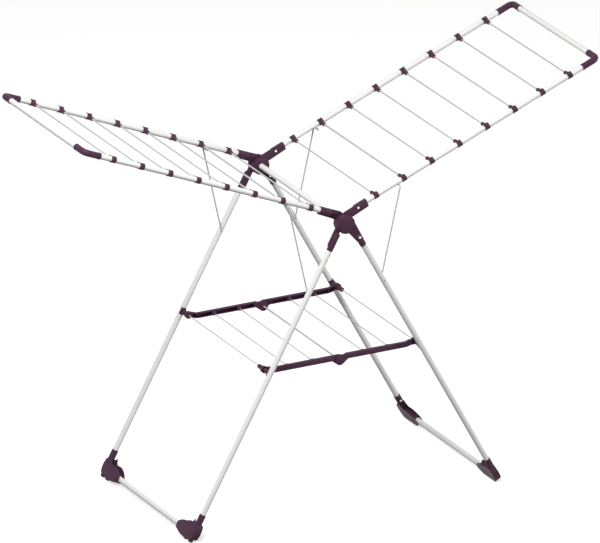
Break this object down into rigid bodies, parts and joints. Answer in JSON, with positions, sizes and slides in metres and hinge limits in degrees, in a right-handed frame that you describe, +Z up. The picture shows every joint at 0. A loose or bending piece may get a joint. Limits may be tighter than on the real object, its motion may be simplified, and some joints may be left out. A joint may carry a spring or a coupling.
{
  "type": "clothes drying rack",
  "caption": "Winged folding clothes airer: crossed tube legs on a hub axle, two raised wings strung with hanging wires on props, and a folding wire shelf between the legs.",
  "frame": {"origin": "middle of the footprint on the floor", "axes": "+X along the spread wings, +Y from the front frame to the back frame, +Z up"},
  "size_m": [1.6198, 0.5684, 1.2177],
  "materials": {
    "white_tube": "satin powder coat",
    "grey_wire": "satin powder coat",
    "purple_plastic": "satin moulded",
    "bare_rivet": "bare rivet",
    "black_roller": "matt"
  },
  "bodies": {
    "left_leg_frame": {"left_leg_tube_front": "white_tube", "left_leg_tube_back": "white_tube", "left_leg_knuckle_front": "purple_plastic", "left_leg_knuckle_back": "purple_plastic", "left_foot_front": "purple_plastic", "left_foot_back": "purple_plastic", "left_floor_tube": "white_tube", "axle_tube": "white_tube", "hub_caps": "purple_plastic", "left_shelf_collars": "purple_plastic", "left_pivot_wire": "grey_wire", "left_leg_rivets": "bare_rivet"},
    "right_leg_frame": {"right_leg_tube_front": "white_tube", "right_leg_tube_back": "white_tube", "right_leg_knuckle_front": "purple_plastic", "right_leg_knuckle_back": "purple_plastic", "right_foot_front": "purple_plastic", "right_foot_back": "purple_plastic", "right_floor_tube": "white_tube", "right_shelf_collars": "purple_plastic", "right_leg_rivets": "bare_rivet"},
    "left_wing": {"left_wing_tube_front": "white_tube", "left_wing_tube_back": "white_tube", "left_wing_knuckle_front": "purple_plastic", "left_wing_knuckle_back": "purple_plastic", "left_wing_elbow_front": "purple_plastic", "left_wing_elbow_back": "purple_plastic", "left_wing_end_tube": "white_tube", "left_wing_clips_front": "purple_plastic", "left_wing_clips_back": "purple_plastic", "left_wing_wires": "grey_wire", "left_wing_rivets": "bare_rivet"},
    "right_wing": {"right_wing_tube_front": "white_tube", "right_wing_tube_back": "white_tube", "right_wing_knuckle_front": "purple_plastic", "right_wing_knuckle_back": "purple_plastic", "right_wing_elbow_front": "purple_plastic", "right_wing_elbow_back": "purple_plastic", "right_wing_end_tube": "white_tube", "right_wing_clips_front": "purple_plastic", "right_wing_clips_back": "purple_plastic", "right_wing_wires": "grey_wire", "right_wing_rivets": "bare_rivet"},
    "left_prop_front": {"left_prop_front": "grey_wire"},
    "left_prop_back": {"left_prop_back": "grey_wire"},
    "right_prop_front": {"right_prop_front": "grey_wire"},
    "right_prop_back": {"right_prop_back": "grey_wire"},
    "shelf_left": {"left_shelf_bar_front": "purple_plastic", "left_shelf_bar_back": "purple_plastic", "left_shelf_wires": "grey_wire", "knee_wire": "grey_wire"},
    "shelf_right": {"right_shelf_bar_front": "purple_plastic", "right_shelf_bar_back": "purple_plastic", "right_shelf_wires": "grey_wire", "right_shelf_stubs": "purple_plastic", "right_pivot_wire": "grey_wire"},
    "roller_front": {"roller_front": "black_roller"},
    "roller_back": {"roller_back": "black_roller"}
  },
  "joints": [
    {"name": "leg_fold", "type": "hinge", "parent": "left_leg_frame", "child": "right_leg_frame", "pos_m": [0, 0, 0.86], "axis": [0, 1, 0], "range_deg": [0, 50]},
    {"name": "left_wing_fold", "type": "hinge", "parent": "left_leg_frame", "child": "left_wing", "pos_m": [0, 0, 0.86], "axis": [0, -1, 0], "range_deg": [0, 78.5]},
    {"name": "right_wing_fold", "type": "hinge", "parent": "right_leg_frame", "child": "right_wing", "pos_m": [0, 0, 0.86], "axis": [0, 1, 0], "range_deg": [0, 78.5]},
    {"name": "left_prop_front_swing", "type": "hinge", "parent": "left_leg_frame", "child": "left_prop_front", "pos_m": [-0.11621, -0.269, 0.67687], "axis": [0, -1, 0], "range_deg": [0, 134.26]},
    {"name": "left_prop_back_swing", "type": "hinge", "parent": "left_leg_frame", "child": "left_prop_back", "pos_m": [-0.11621, 0.269, 0.67687], "axis": [0, -1, 0], "range_deg": [0, 134.26]},
    {"name": "right_prop_front_swing", "type": "hinge", "parent": "right_leg_frame", "child": "right_prop_front", "pos_m": [0.11621, -0.269, 0.67687], "axis": [0, 1, 0], "range_deg": [0, 134.26]},
    {"name": "right_prop_back_swing", "type": "hinge", "parent": "right_leg_frame", "child": "right_prop_back", "pos_m": [0.11621, 0.269, 0.67687], "axis": [0, 1, 0], "range_deg": [0, 134.26]},
    {"name": "shelf_left_fold", "type": "hinge", "parent": "left_leg_frame", "child": "shelf_left", "pos_m": [-0.23669, 0, 0.458], "axis": [0, -1, 0], "range_deg": [0, 57.98]},
    {"name": "shelf_knee", "type": "hinge", "parent": "shelf_left", "child": "shelf_right", "pos_m": [0, 0, 0.443], "axis": [0, 1, 0], "range_deg": [0, 165.76]},
    {"name": "roller_front_spin", "type": "hinge", "parent": "left_leg_frame", "child": "roller_front", "pos_m": [-0.48608, -0.255, 0.007], "axis": [0, 1, 0], "continuous": true},
    {"name": "roller_back_spin", "type": "hinge", "parent": "left_leg_frame", "child": "roller_back", "pos_m": [-0.48608, 0.255, 0.007], "axis": [0, 1, 0], "continuous": true}
  ],
  "couplings": [
    {"joint": "left_prop_front_swing", "follows": "left_wing_fold", "ratio": 1.7078},
    {"joint": "left_prop_back_swing", "follows": "left_wing_fold", "ratio": 1.7078},
    {"joint": "right_prop_front_swing", "follows": "right_wing_fold", "ratio": 1.7078},
    {"joint": "right_prop_back_swing", "follows": "right_wing_fold", "ratio": 1.7078},
    {"joint": "shelf_left_fold", "follows": "leg_fold", "ratio": 1.1556},
    {"joint": "shelf_knee", "follows": "leg_fold", "ratio": 3.3113}
  ]
}
